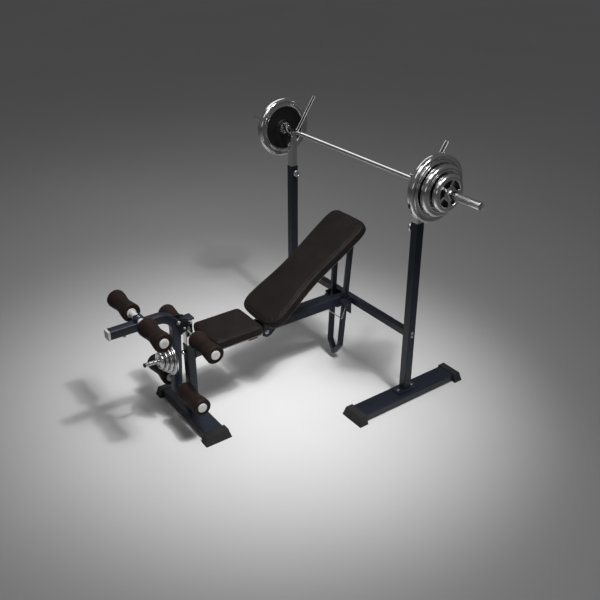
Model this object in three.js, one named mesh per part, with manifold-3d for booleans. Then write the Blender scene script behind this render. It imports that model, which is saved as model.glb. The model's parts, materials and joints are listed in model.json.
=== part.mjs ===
// An adjustable weight bench with its rack, leg developer and loaded barbell.
// Millimetres, +Z up. The barbell lies along X and the bench runs along Y.
// Inside the group the rack uprights stand at Y = 0, the leg developer is at the -Y end
// and the floor is Z = 0. The group is then moved along Y to centre the whole bench.
import * as THREE from 'three';
import { mergeVertices } from 'three/addons/utils/BufferGeometryUtils.js';
import Module from 'manifold-3d';

const wasm = await Module();
wasm.setup();

// ---- Driving dimensions ----------------------------------------------------------------

const GAP = 0.3; // between two pieces that touch
const SIDES = { left: -1, right: 1 };
const DEGREE = Math.PI / 180;

const FOOT = { width: 117, bottom: 6, top: 50.5, wall: 2.5, corner: 6 };
const CAP = { width: 160, topWidth: 132, length: 58, topLength: 44, height: 54, grip: 30 };
const BASE_PLATE = { bottom: FOOT.top + GAP, thickness: 6 };

const POST = { size: 50, wall: 2.5, corner: 5 }; // painted square tube of the frame
const RACK = { x: 567.8, top: 1106, footX: 578, footFront: -411, footBack: 393 };
const INNER = { size: 42.6, wall: 2.2, corner: 4 }; // chrome square tube inside a post
const RACK_INNER = { bottom: 780, top: 1298 };

const CROSSBEAM = { size: 42, bottom: 408 };
const BEAM = { width: 50, height: 60, bottom: 384, wall: 2.5 };
const CHEEK = { inner: 75, thickness: 4 };

const TROUGH = { z: 1364.2, inner: 49.5, outer: 56.5, lip: 45, arm: 212, width: 31 };

const FRONT = { y: -1097, top: 475, footY: -1110, footX: 305 };
const FRONT_INNER = { bottom: 290, top: 605 };
const HEAD = { front: -1125, back: -1069, top: 640 };
const KNEE = { y: -1087, z: 538 };

const HINGE = { y: -619, z: 400, bolt: 6 }; // where the backrest turns on the beam
const INCLINE = 33.6 * DEGREE;
const BACK_TOP = { y: -350, z: 719.4 }; // a point on the upper face of the backrest pad
const BACKREST = { low: -391, high: 434, pad: 45, board: 10, rail: 38 };
const RAIL = { inner: 28, outer: 44 };

const SUPPORT = { lean: 3.6 * DEGREE, y: -81.6, z: 36.7, width: 20, depth: 32, wall: 2 };
const SUPPORT_PIN = { y: -31, z: 841, radius: 6 };
const CLIP = { y: -58, z: 408, wire: 3, arm: 94, half: 70.7, end: 83 };

const SEAT = { front: -1000, back: -690, half: 135, top: 507, boardTop: 462, boardBottom: 450.6 };

const ARM = { half: 25, depth: 48, wall: 2.5, z: 685, tip: -1532, bottom: 206 };
const ARM_LEAN = 3.05 * DEGREE;
const ARM_BEND = { y: -1265.7, z: 589, radius: 96 };
const PIVOT = { y: -1158.5, z: 637.6, bolt: 5 };
const FRONT_ROLLER = { y: -1366, z: 714 };
const LOWER_ROLLER = { y: -1184, z: 246 };
const AXLE = 8;
const PEG = { y: -1178.4, z: 424, radius: 12.5, end: 190, flange: 5 };

const BAR = { z: 1328, radius: 13, end: 970, sleeve: 22, sleeveStart: 641, sleeveEnd: 977 };

// Half of the whole length along Y: the arm's end cap is at -1545 and the rear caps at 393.
const MIDDLE_Y = (1545 - RACK.footBack) / 2;

// ---- Looks -----------------------------------------------------------------------------

const look = (color, roughness, metalness) => ({ color, roughness, metalness });
const NAVY = look(0x2b3140, 0.4, 0.3);
const CHROME = look(0xd9dadc, 0.12, 1.0);
const ZINC = look(0xb4b6b9, 0.35, 1.0);
const BLACK_STEEL = look(0x17181b, 0.45, 0.3);
const RUBBER = look(0x141414, 0.8, 0.0);
const FOAM = look(0x2a1c18, 0.5, 0.0);
const VINYL = look(0x2b2220, 0.42, 0.0);
const BOARD = look(0xb9b7b2, 0.6, 0.0);

// ---- Solids: joining and cutting -------------------------------------------------------

function signedVolume(positions, triangles) {
  const corner = [new THREE.Vector3(), new THREE.Vector3(), new THREE.Vector3()];
  let volume = 0;
  for (let i = 0; i < triangles.length; i += 3) {
    for (let k = 0; k < 3; k++) {
      corner[k].fromArray(positions, 3 * triangles[i + k]);
    }
    volume += corner[0].dot(corner[1].cross(corner[2]));
  }
  return volume;
}

// A closed geometry as a solid, with its faces turned outwards.
function solidOf(geometry) {
  const bare = geometry.clone();
  bare.deleteAttribute('normal');
  bare.deleteAttribute('uv');
  const merged = mergeVertices(bare, 1e-3);
  const vertProperties = new Float32Array(merged.attributes.position.array);
  const triVerts = new Uint32Array(merged.index.array);
  if (signedVolume(vertProperties, triVerts) < 0) {
    triVerts.reverse();
  }
  return new wasm.Manifold(new wasm.Mesh({ numProp: 3, vertProperties, triVerts }));
}

function geometryOf(solid) {
  const { vertProperties, triVerts } = solid.getMesh();
  const geometry = new THREE.BufferGeometry();
  geometry.setAttribute('position', new THREE.BufferAttribute(vertProperties, 3));
  geometry.setIndex(new THREE.BufferAttribute(triVerts, 1));
  geometry.computeVertexNormals();
  return geometry;
}

const join = (...parts) => geometryOf(parts.map(solidOf).reduce((sum, part) => sum.add(part)));
const cut = (whole, ...tools) =>
  geometryOf(tools.map(solidOf).reduce((rest, tool) => rest.subtract(tool), solidOf(whole)));
const common = (a, b) => geometryOf(solidOf(a).intersect(solidOf(b)));

// ---- Shapes ----------------------------------------------------------------------------

const X_AXIS = new THREE.Vector3(1, 0, 0);
const Y_AXIS = new THREE.Vector3(0, 1, 0);
const Z_AXIS = new THREE.Vector3(0, 0, 1);
const SIDE_VIEW = new THREE.Matrix4().makeBasis(Y_AXIS, Z_AXIS, X_AXIS);
const FRONT_VIEW = new THREE.Matrix4().makeBasis(X_AXIS, Z_AXIS, Y_AXIS.clone().negate());

function block(x, y, z) {
  const box = new THREE.BoxGeometry(x[1] - x[0], y[1] - y[0], z[1] - z[0]);
  return box.translate((x[0] + x[1]) / 2, (y[0] + y[1]) / 2, (z[0] + z[1]) / 2);
}

function roundedRectangle(width, height, corner) {
  const right = width / 2;
  const top = height / 2;
  const shape = new THREE.Shape();
  shape.absarc(right - corner, top - corner, corner, 0, Math.PI / 2);
  shape.absarc(corner - right, top - corner, corner, Math.PI / 2, Math.PI);
  shape.absarc(corner - right, corner - top, corner, Math.PI, 1.5 * Math.PI);
  shape.absarc(right - corner, corner - top, corner, 1.5 * Math.PI, 2 * Math.PI);
  return shape;
}

// A rectangular tube standing on Z = 0, hollow from end to end.
function boxTube(width, height, length, wall, corner) {
  const section = roundedRectangle(width, height, corner);
  const bore = roundedRectangle(width - 2 * wall, height - 2 * wall, corner - wall / 2);
  section.holes.push(new THREE.Path(bore.getPoints(2).reverse()));
  return new THREE.ExtrudeGeometry(section, { depth: length, bevelEnabled: false, curveSegments: 2 });
}

const alongX = (geometry, start = 0) => geometry.rotateY(Math.PI / 2).translate(start, 0, 0);
const alongY = (geometry, start = 0) => geometry.rotateX(-Math.PI / 2).translate(0, start, 0);

function extruded(shape, depth, bevel = 0, curveSegments = 6) {
  const geometry = new THREE.ExtrudeGeometry(shape, {
    depth: depth - 2 * bevel,
    bevelEnabled: bevel > 0,
    bevelThickness: bevel,
    bevelSize: bevel,
    bevelOffset: -bevel,
    bevelSegments: 1,
    curveSegments,
  });
  return geometry.translate(0, 0, bevel - depth / 2);
}

// An outline drawn in Y and Z, made `depth` thick along X about X = 0.
const sidePlate = (shape, depth, bevel, segments) =>
  extruded(shape, depth, bevel, segments).applyMatrix4(SIDE_VIEW);
// An outline drawn in X and Z, made `depth` thick along Y about Y = 0.
const frontPlate = (shape, depth, bevel) => extruded(shape, depth, bevel).applyMatrix4(FRONT_VIEW);
// A shape drawn through corners given as [across, up].
const polygon = (corners) => new THREE.Shape(corners.map(([a, b]) => new THREE.Vector2(a, b)));

const rodX = (radius, length, sides = 12) =>
  new THREE.CylinderGeometry(radius, radius, length, sides).rotateZ(Math.PI / 2);

// A profile of [radius, along] points turned about the X axis or about the Y axis.
const turnedY = (profile, segments) =>
  new THREE.LatheGeometry(profile.map(([r, a]) => new THREE.Vector2(r, a)), segments);
const turnedX = (profile, segments) => turnedY(profile, segments).rotateZ(-Math.PI / 2);

const circle = (y, z, radius) => new THREE.Shape().absarc(y, z, radius, 0, 2 * Math.PI);

// ---- Scene graph -----------------------------------------------------------------------

const bench = new THREE.Group();
bench.position.y = MIDDLE_Y;

function add(name, geometry, finish, parent = bench) {
  const mesh = new THREE.Mesh(geometryOf(solidOf(geometry)), new THREE.MeshStandardMaterial(finish));
  mesh.name = name;
  parent.add(mesh);
  return mesh;
}

function turnedGroup(y, z, angle) {
  const group = new THREE.Group();
  group.position.set(0, y, z);
  group.rotation.x = angle;
  bench.add(group);
  return group;
}

// ---- Feet ------------------------------------------------------------------------------

// A rubber end cap that widens to the floor. Its tip points along +Y and its mouth is at Y = 0.
function footCap() {
  const side = polygon([[0, 0], [CAP.length, 0], [CAP.topLength, CAP.height], [0, CAP.height]]);
  const half = CAP.width / 2;
  const topHalf = CAP.topWidth / 2;
  const face = polygon([[-half, 0], [half, 0], [topHalf, CAP.height], [-topHalf, CAP.height]]);
  const body = common(sidePlate(side, CAP.width), frontPlate(face, 3 * CAP.length));
  const mouth = block(
    [-FOOT.width / 2 - GAP, FOOT.width / 2 + GAP],
    [-1, CAP.grip],
    [FOOT.bottom - GAP, FOOT.top + GAP],
  );
  return cut(body, mouth);
}

function footTube(length) {
  const height = FOOT.top - FOOT.bottom;
  const tube = boxTube(FOOT.width, height, length, FOOT.wall, FOOT.corner);
  return tube.translate(0, 0, -length / 2);
}

const FOOT_MIDDLE = (FOOT.top + FOOT.bottom) / 2;
const CAP_OVERHANG = CAP.length - CAP.grip + GAP; // how far a cap's tip is beyond its tube

function addRearFoot(side, sign) {
  const length = RACK.footBack - RACK.footFront - 2 * CAP_OVERHANG;
  const middle = (RACK.footBack + RACK.footFront) / 2;
  const foot = add(`rear_foot_${side}`, alongY(footTube(length)), NAVY);
  foot.position.set(sign * RACK.footX, middle, FOOT_MIDDLE);
  const back = add(`rear_foot_cap_back_${side}`, footCap(), RUBBER);
  back.position.set(sign * RACK.footX, RACK.footBack - CAP.length, 0);
  const front = add(`rear_foot_cap_front_${side}`, footCap(), RUBBER);
  front.position.set(sign * RACK.footX, RACK.footFront + CAP.length, 0);
  front.rotation.z = Math.PI;
}

function addFrontFoot() {
  const length = 2 * (FRONT.footX - CAP_OVERHANG);
  const tube = footTube(length).rotateZ(Math.PI / 2);
  const foot = add('front_foot', alongX(tube), NAVY);
  foot.position.set(0, FRONT.footY, FOOT_MIDDLE);
  for (const [side, sign] of Object.entries(SIDES)) {
    const cap = add(`front_foot_cap_${side}`, footCap(), RUBBER);
    cap.position.set(sign * (FRONT.footX - CAP.length), FRONT.footY, 0);
    cap.rotation.z = -sign * Math.PI / 2;
  }
}

// ---- Posts -----------------------------------------------------------------------------

// A square post welded to its base plate, with its own middle on the Z axis.
function postOnPlate(top, plateX, plateY) {
  const plateTop = BASE_PLATE.bottom + BASE_PLATE.thickness;
  const plate = block([-plateX, plateX], [-plateY, plateY], [BASE_PLATE.bottom, plateTop]);
  const tube = boxTube(POST.size, POST.size, top - plateTop + 1, POST.wall, POST.corner);
  return join(tube.translate(0, 0, plateTop - 1), plate);
}

const COLLAR = { radius: 11, length: 10, bore: 5.2, pin: 4.6 };
const PULL_KNOB = { z: 1066, radius: 20, length: 17 };
const CLAMP_KNOB = { z: 430, radius: 13, length: 12, collar: 5 };

// The threaded collar that a knob's pin slides in, standing out of a post along +X.
const knobCollar = (z, length) =>
  rodX(COLLAR.radius, length + 1).translate(POST.size / 2 + (length - 1) / 2, 0, z);
const knobBore = (z) => rodX(COLLAR.bore, 40).translate(POST.size / 2 + 5, 0, z);

// A round knob with a raised rim and a dished face, and its pin, both along +X from X = 0.
function pullKnob(radius, length, collar) {
  return turnedX([
    [0, -POST.wall - collar], [COLLAR.pin, -POST.wall - collar], [COLLAR.pin, GAP],
    [radius * 0.7, GAP], [radius, length * 0.35], [radius, length * 0.8],
    [radius * 0.88, length], [radius * 0.72, length], [radius * 0.66, length * 0.86],
    [0, length * 0.86],
  ], 14);
}

function addUpright(side, sign) {
  const post = postOnPlate(RACK.top, 40, 75);
  const whole = cut(join(post, knobCollar(PULL_KNOB.z, COLLAR.length)), knobBore(PULL_KNOB.z));
  const upright = add(`upright_${side}`, whole, NAVY);
  upright.position.x = sign * RACK.x;
  upright.rotation.z = sign > 0 ? Math.PI : 0;
  const knob = add(`pull_knob_${side}`, pullKnob(PULL_KNOB.radius, PULL_KNOB.length, COLLAR.length), CHROME);
  knob.position.set(sign * (RACK.x - POST.size / 2 - COLLAR.length), 0, PULL_KNOB.z);
  knob.rotation.z = sign > 0 ? Math.PI : 0;
}

function addFrontPost() {
  const post = postOnPlate(FRONT.top, 40, 40);
  const whole = cut(join(post, knobCollar(CLAMP_KNOB.z, CLAMP_KNOB.collar)), knobBore(CLAMP_KNOB.z));
  const front = add('front_post', whole, NAVY);
  front.position.y = FRONT.y;
  front.rotation.z = -Math.PI / 2;
  const knobShape = pullKnob(CLAMP_KNOB.radius, CLAMP_KNOB.length, CLAMP_KNOB.collar);
  const knob = add('front_clamp_knob', knobShape, CHROME);
  knob.position.set(0, FRONT.y - POST.size / 2 - CLAMP_KNOB.collar, CLAMP_KNOB.z);
  knob.rotation.z = -Math.PI / 2;
}

// ---- Crossbeam and main beam -----------------------------------------------------------

// The crossbeam with the two cheeks that guide the backrest support between them.
function addCrossbeam() {
  const half = RACK.x - POST.size / 2 - GAP;
  const face = CROSSBEAM.size / 2;
  const tube = alongX(boxTube(CROSSBEAM.size, CROSSBEAM.size, 2 * half, 2.5, 4), -half);
  tube.translate(0, 0, CROSSBEAM.bottom + face);
  const cheek = polygon([
    [-105, 458], [-70, 398], [-50, 360], [0.5 - face, 336], [0.5 - face, 458],
  ]);
  const cheeks = Object.values(SIDES).map((sign) =>
    sidePlate(cheek, CHEEK.thickness).translate(sign * (CHEEK.inner + CHEEK.thickness / 2), 0, 0));
  const clipBore = rodX(CLIP.wire + GAP, 200).translate(0, CLIP.y, CLIP.z);
  add('crossbeam', cut(join(tube, ...cheeks), clipBore), NAVY);
}

function addMainBeam() {
  const start = FRONT.y + POST.size / 2 + GAP;
  const end = -CROSSBEAM.size / 2 - GAP;
  const tube = alongY(boxTube(BEAM.width, BEAM.height, end - start, BEAM.wall, 5), start);
  tube.translate(0, 0, BEAM.bottom + BEAM.height / 2);
  const bore = rodX(HINGE.bolt + GAP, 80).translate(0, HINGE.y, HINGE.z);
  add('main_beam', cut(tube, bore), NAVY);
}

// ---- Rack posts and cradles ------------------------------------------------------------

// The J of the cradle: a short lip, the round trough and a long arm, as a strip outline.
function cradleOutline() {
  const lipAngle = 205 * DEGREE;
  const armAngle = 326.6 * DEGREE;
  const { inner, outer, z } = TROUGH;
  const middle = (inner + outer) / 2;
  const half = (outer - inner) / 2;
  const end = (angle, reach) => new THREE.Vector2(
    middle * Math.cos(angle) - reach * Math.sin(angle),
    z + middle * Math.sin(angle) + reach * Math.cos(angle),
  );
  const lip = end(lipAngle, -TROUGH.lip);
  const tip = end(armAngle, TROUGH.arm);
  const shape = new THREE.Shape();
  shape.absarc(0, z, outer, lipAngle, armAngle);
  shape.absarc(tip.x, tip.y, half, armAngle, armAngle + Math.PI);
  shape.absarc(0, z, inner, armAngle, lipAngle, true);
  shape.absarc(lip.x, lip.y, half, lipAngle + Math.PI, lipAngle + 2 * Math.PI);
  return shape;
}

function addRackPost(side, sign) {
  const length = RACK_INNER.top - RACK_INNER.bottom;
  const tube = boxTube(INNER.size, INNER.size, length, INNER.wall, INNER.corner);
  const lid = extruded(roundedRectangle(INNER.size - 1, INNER.size - 1, INNER.corner), 4);
  lid.translate(0, 0, length - 2);
  const post = add(`rack_post_${side}`, join(tube, lid), CHROME);
  post.position.set(sign * RACK.x, 0, RACK_INNER.bottom);

  const strip = sidePlate(cradleOutline(), TROUGH.width, 0, 5);
  const seat = block([-TROUGH.width / 2 + 1, TROUGH.width / 2 - 1], [-18, 18], [RACK_INNER.top + GAP, 1312]);
  const cradle = add(`cradle_${side}`, join(strip, seat), CHROME);
  cradle.position.x = sign * RACK.x;
}

// ---- Barbell ---------------------------------------------------------------------------

// Each plate: outer radius, the radii of its recessed web, where it starts and how thick it is.
const PLATES = {
  large: { radius: 180, web: [46, 131], start: 655.5, thickness: 35, segments: 26 },
  medium: { radius: 135, web: [42, 100], start: 692, thickness: 43, segments: 22 },
  small: { radius: 98, web: [38, 73], start: 737, thickness: 38, segments: 20 },
};
const WINDOWS = { count: 5, inner: 41, outer: 70, span: 52 * DEGREE, first: 85 * DEGREE };

// A weight plate with a thick rounded rim, a recessed web on both faces and a round bore.
function weightPlate(radius, bore, web, thickness, segments) {
  const round = Math.min(thickness * 0.3, 9);
  const recess = thickness * 0.27;
  const half = [
    [bore, 0], [web[0] - 3, 0], [web[0], recess], [web[1], recess], [web[1] + 4, 0],
    [radius - round, 0], [radius, round],
  ];
  const back = half.map(([r, a]) => [r, thickness - a]).reverse();
  return turnedX([...half, ...back, half[0]], segments);
}

function plateWindow(index) {
  const { inner, outer, span, first, count } = WINDOWS;
  const middle = first + (2 * Math.PI * index) / count;
  const shape = new THREE.Shape();
  shape.absarc(0, 0, outer, middle - span / 2, middle + span / 2);
  shape.absarc(0, 0, inner, middle + span / 2, middle - span / 2, true);
  return sidePlate(shape, 200, 0, 3);
}

function addBar() {
  const { radius, end } = BAR;
  const collar = [620, 638];
  const profile = [
    [0, -end], [radius - 1, -end], [radius, 2 - end], [radius, -collar[1]], [25, 3 - collar[1]],
    [25, -collar[0]], [radius, -collar[0]], [radius, collar[0]], [25, collar[0]],
    [25, collar[1] - 3], [radius, collar[1]], [radius, end - 2], [radius - 1, end], [0, end],
  ];
  add('bar', turnedX(profile, 14).translate(0, 0, BAR.z), CHROME);
}

// A sleeve turns on the bar's end: a flange, then a plain tube closed at its tip.
function sleeve() {
  const { radius, end, sleeve: outer, sleeveStart: start, sleeveEnd: tip } = BAR;
  const bore = radius + 0.4;
  return turnedX([
    [bore, start], [32, start], [34, start + 3], [34, start + 12], [outer, start + 14],
    [outer, tip - 2], [outer - 2, tip], [0, tip], [0, end + GAP], [bore, end + GAP], [bore, start],
  ], 16);
}

function addBarbellEnd(side, sign) {
  const end = new THREE.Group();
  end.position.z = BAR.z;
  end.rotation.z = sign < 0 ? Math.PI : 0;
  bench.add(end);
  add(`sleeve_${side}`, sleeve(), CHROME, end);
  for (const [size, { radius, web, start, thickness, segments }] of Object.entries(PLATES)) {
    let shape = weightPlate(radius, BAR.sleeve + 0.4, web, thickness, segments);
    if (size === 'small') {
      const windows = Array.from({ length: WINDOWS.count }, (_, index) => plateWindow(index));
      shape = cut(shape, ...windows);
    }
    add(`plate_${size}_${side}`, shape.translate(start, 0, 0), CHROME, end);
  }
}

// ---- Seat ------------------------------------------------------------------------------

function addSeat() {
  const { front, back, half, top, boardTop, boardBottom } = SEAT;
  const middle = (front + back) / 2;
  const length = back - front;
  const pad = extruded(roundedRectangle(2 * half, length, 28), top - boardTop - GAP, 8, 5);
  add('seat_pad', pad, VINYL).position.set(0, middle, (top + boardTop + GAP) / 2);
  const board = extruded(roundedRectangle(2 * half - 10, length - 10, 26), boardTop - boardBottom);
  add('seat_board', board, BOARD).position.set(0, middle, (boardTop + boardBottom) / 2);

  const low = BEAM.bottom + BEAM.height + GAP;
  const high = boardBottom - GAP;
  const spine = block([-22, 22], [front + 40, back - 20], [low, high]);
  const strap = block([-131, 131], [-793, -736], [low, high]);
  add('seat_bracket', join(spine, strap), BLACK_STEEL);
}

// ---- Backrest --------------------------------------------------------------------------

// Half of the pad's outline, as [across, along], wide at the hips with a waist in the middle.
function backrestOutline(inset) {
  const { low, high } = BACKREST;
  const edge = new THREE.Path();
  edge.moveTo(0, low);
  edge.lineTo(92, low + 3);
  edge.bezierCurveTo(146, low + 8, 168, low + 48, 164, low + 105);
  edge.bezierCurveTo(160, -190, 138, -110, 138, 10);
  edge.bezierCurveTo(138, 100, 150, 180, 151, high - 92);
  edge.bezierCurveTo(151, high - 34, 135, high - 4, 92, high - 2);
  edge.lineTo(0, high);
  const scaleX = 1 - inset / 160;
  const middle = (low + high) / 2;
  const scaleY = 1 - (2 * inset) / (high - low);
  const right = edge.getPoints(5).map(({ x, y }) => [x * scaleX, middle + (y - middle) * scaleY]);
  const left = right.slice(1, -1).map(([x, y]) => [-x, y]).reverse();
  return polygon([...right, ...left]);
}

// The backrest's own frame: X across, Y up the incline, Z out of the upper face.
const back = turnedGroup(BACK_TOP.y, BACK_TOP.z, INCLINE);

// A point of the bench, given by its Y and Z, in the backrest's own frame.
function onBackrest({ y, z }) {
  const across = y - BACK_TOP.y;
  const up = z - BACK_TOP.z;
  return {
    y: across * Math.cos(INCLINE) + up * Math.sin(INCLINE),
    z: up * Math.cos(INCLINE) - across * Math.sin(INCLINE),
  };
}

// Two rails with a lug each at the hinge, and two straps that hold the board.
function backrestFrame() {
  const hinge = onBackrest(HINGE);
  const pin = onBackrest(SUPPORT_PIN);
  const top = -(BACKREST.pad + BACKREST.board + 3 * GAP);
  const bottom = top - BACKREST.rail;
  const start = hinge.y + 12;
  const end = pin.y + 22;
  const lug = polygon([
    [start + 110, bottom + 1], [hinge.y + 52, hinge.z - 32], [hinge.y + 6, hinge.z - 38],
    [hinge.y - 22, hinge.z - 26], [hinge.y - 34, hinge.z + 4], [hinge.y - 14, hinge.z + 30],
    [start, top - 12], [start + 110, top - 2],
  ]);
  const sides = Object.values(SIDES).flatMap((sign) => {
    const middle = (RAIL.inner + RAIL.outer) / 2;
    const rail = alongY(boxTube(RAIL.outer - RAIL.inner, BACKREST.rail, end - start, 2, 3), start);
    rail.translate(sign * middle, 0, (top + bottom) / 2);
    const plate = sidePlate(lug, 4).translate(sign * (RAIL.outer + 1.9), 0, 0);
    return [rail, plate];
  });
  const straps = [-250, 170].map((y) => block([-105, 105], [y, y + 40], [top - 4, top]));
  const hingeBore = rodX(HINGE.bolt + GAP, 200).translate(0, hinge.y, hinge.z);
  const pinBore = rodX(SUPPORT_PIN.radius + GAP, 200).translate(0, pin.y, pin.z);
  return cut(join(...sides, ...straps), hingeBore, pinBore);
}

function addBackrest() {
  const { pad, board } = BACKREST;
  const padShape = extruded(backrestOutline(0), pad, 8).translate(0, 0, -pad / 2);
  add('backrest_pad', padShape, VINYL, back);
  const boardShape = extruded(backrestOutline(3), board).translate(0, 0, -pad - GAP - board / 2);
  add('backrest_board', boardShape, BOARD, back);
  add('backrest_frame', backrestFrame(), NAVY, back);
}

// A bolt along X with a head on each end: `reach` is from the middle to the inside of a head.
function crossBolt(radius, reach, head, headLength) {
  const profile = [
    [0, -reach - headLength], [head, -reach - headLength], [head, -reach], [radius, -reach],
    [radius, reach], [head, reach], [head, reach + headLength], [0, reach + headLength],
  ];
  return turnedX(profile, 12);
}

function addHingeBolt() {
  const bolt = crossBolt(HINGE.bolt, RAIL.outer + 4 + GAP, 10, 7);
  add('hinge_bolt', bolt, ZINC).position.set(0, HINGE.y, HINGE.z);
}

// ---- Backrest support and its lock clip ------------------------------------------------

// Half of the U's outline as [across, up] from its tip: the legs spread towards the top.
function supportOutline(inset) {
  const top = (SUPPORT_PIN.z - SUPPORT.z) / Math.cos(SUPPORT.lean) + 12;
  const spread = (height) => 46.5 + 0.028 * height; // middle of a leg
  const half = SUPPORT.width / 2 - inset;
  const end = top + (inset > 0 ? 5 : 0);
  const bend = 76;
  const right = [
    [8 - inset * 0.4, inset], [spread(bend) + half, bend], [spread(end) + half, end],
    [spread(end) - half, end], [spread(bend) - half, bend + 9],
  ];
  const left = [...right].reverse().map(([x, z]) => [-x, z]);
  return polygon([...right, [0, 26 - 1.6 * inset], ...left]);
}

// The support's own frame stands at the tip of the U and leans back with its legs.
const leaning = turnedGroup(SUPPORT.y, SUPPORT.z, -SUPPORT.lean);

function addSupport() {
  const { wall, depth, lean, y, z } = SUPPORT;
  const outside = frontPlate(supportOutline(0), depth);
  const inside = frontPlate(supportOutline(wall), depth - 2 * wall);
  const along = (point) => (point.z - z) * Math.cos(lean) + (point.y - y) * Math.sin(lean);
  const across = (point) => (point.y - y) * Math.cos(lean) - (point.z - z) * Math.sin(lean);
  const pin = rodX(SUPPORT_PIN.radius + GAP, 300).translate(0, across(SUPPORT_PIN), along(SUPPORT_PIN));
  add('support_legs', cut(outside, inside, pin), NAVY, leaning);

  const bolt = crossBolt(SUPPORT_PIN.radius, 80.5, 10, 5);
  add('support_pin', bolt, ZINC).position.set(0, SUPPORT_PIN.y, SUPPORT_PIN.z);
}

// A bent wire: its ends turn in the guide's cheeks, and its loop passes in front of the legs.
function addLockClip() {
  const { half, end, arm, wire, y, z } = CLIP;
  const bend = 4;
  const corners = [[end, 0], [half, 0], [half, -arm], [-half, -arm], [-half, 0], [-end, 0]];
  const points = corners.map(([x, t]) => new THREE.Vector3(x, 0, t));
  const route = new THREE.CurvePath();
  let from = points[0];
  for (let i = 1; i < points.length - 1; i++) {
    const into = points[i].clone().lerp(points[i - 1], bend / points[i].distanceTo(points[i - 1]));
    const out = points[i].clone().lerp(points[i + 1], bend / points[i].distanceTo(points[i + 1]));
    route.add(new THREE.LineCurve3(from, into));
    route.add(new THREE.QuadraticBezierCurve3(into, points[i], out));
    from = out;
  }
  route.add(new THREE.LineCurve3(from, points.at(-1)));
  const section = polygon(Array.from({ length: 6 }, (_, i) => {
    const angle = (2 * Math.PI * i) / 6;
    return [wire * Math.cos(angle), wire * Math.sin(angle)];
  }));
  const shape = new THREE.ExtrudeGeometry(section, { extrudePath: route, steps: 48 });
  const clip = add('lock_clip', shape, CHROME);
  clip.position.set(0, y, z);
  clip.rotation.x = -Math.atan2(28, 90);
}

// ---- Front post: inner tube, head, hinge bracket and knee rollers ----------------------

function addFrontInner() {
  const length = FRONT_INNER.top - FRONT_INNER.bottom;
  const tube = boxTube(INNER.size, INNER.size, length, INNER.wall, INNER.corner);
  tube.translate(0, FRONT.y, FRONT_INNER.bottom);
  const bore = rodX(AXLE + GAP, 80).translate(0, KNEE.y, KNEE.z);
  add('front_inner_post', cut(tube, bore), CHROME);

  const depth = HEAD.back - HEAD.front;
  const height = HEAD.top - FRONT_INNER.top - GAP;
  const head = extruded(roundedRectangle(2 * ARM.half, depth, 5), height, 2, 3);
  head.translate(0, (HEAD.front + HEAD.back) / 2, HEAD.top - height / 2);
  add('post_head', head, NAVY);
}

// Two side plates that hold the leg developer, joined by a web in front of the head.
function addHingeBracket() {
  const outline = polygon([
    [-1174, 644], [-1166, 655], [-1150, 658], [-1104, 646], [-1104, 604],
    [-1116, 574], [-1146, 566], [-1156, 584], [-1172, 630],
  ]);
  const plates = Object.values(SIDES).map((sign) =>
    sidePlate(outline, 4).translate(sign * (ARM.half + 2 + GAP), 0, 0));
  const web = block([-ARM.half - 1, ARM.half + 1], [-1129.5, HEAD.front - GAP], [576, 642]);
  const bore = rodX(PIVOT.bolt + GAP, 100).translate(0, PIVOT.y, PIVOT.z);
  add('developer_bracket', cut(join(...plates, web), bore), BLACK_STEEL);

  const bolt = crossBolt(PIVOT.bolt, ARM.half + 4 + 2 * GAP, 9, 6);
  add('developer_bolt', bolt, ZINC).position.set(0, PIVOT.y, PIVOT.z);
}

// ---- Foam rollers ----------------------------------------------------------------------

const ROLLER = { end: 49, waist: 40, length: 204 };
const ROLLER_START = { knee: 68, front: 82, lower: 70 };

// A foam roller, thin at the waist and full at its ends, from X = 0 to its length.
function roller() {
  const { end, waist, length } = ROLLER;
  const bore = AXLE + 0.5;
  const profile = [[bore, 0], [end - 6, 0], [end, 10]];
  for (let i = 1; i < 4; i++) {
    const along = 12 + ((length - 24) * i) / 4;
    const middle = 1 - ((2 * along) / length - 1) ** 2;
    profile.push([end - (end - waist) * middle, along]);
  }
  profile.push([end, length - 10], [end - 6, length], [bore, length], [bore, 0]);
  return turnedX(profile, 16);
}

function addRollers(name, { y, z }) {
  const start = ROLLER_START[name];
  const reach = start + ROLLER.length + 3;
  add(`${name}_axle`, rodX(AXLE, 2 * reach), ZINC).position.set(0, y, z);
  for (const [side, sign] of Object.entries(SIDES)) {
    const foam = add(`${name}_roller_${side}`, roller(), FOAM);
    foam.position.set(sign * start, y, z);
    foam.rotation.z = sign < 0 ? Math.PI : 0;
  }
}

// ---- Leg developer ---------------------------------------------------------------------

// The arm's side outline: level from its tip, round the bend, then down with a slight lean.
// `inset` thins it and `over` lengthens both ends.
function armOutline(inset, over) {
  const half = ARM.depth / 2 - inset;
  const turn = -ARM_LEAN; // angle of the bend's end, seen from the bend's centre
  const { y, z, radius } = ARM_BEND;
  const drop = (z + radius * Math.sin(turn) - ARM.bottom) / Math.cos(ARM_LEAN) + over;
  const foot = (r) => [
    y + r * Math.cos(turn) - drop * Math.sin(ARM_LEAN),
    z + r * Math.sin(turn) - drop * Math.cos(ARM_LEAN),
  ];
  const shape = new THREE.Shape();
  shape.moveTo(ARM.tip - over, ARM.z - half);
  shape.lineTo(y, ARM.z - half);
  shape.absarc(y, z, radius - half, Math.PI / 2, turn, true);
  shape.lineTo(...foot(radius - half));
  shape.lineTo(...foot(radius + half));
  shape.absarc(y, z, radius + half, turn, Math.PI / 2);
  shape.lineTo(ARM.tip - over, ARM.z + half);
  return shape;
}

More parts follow.
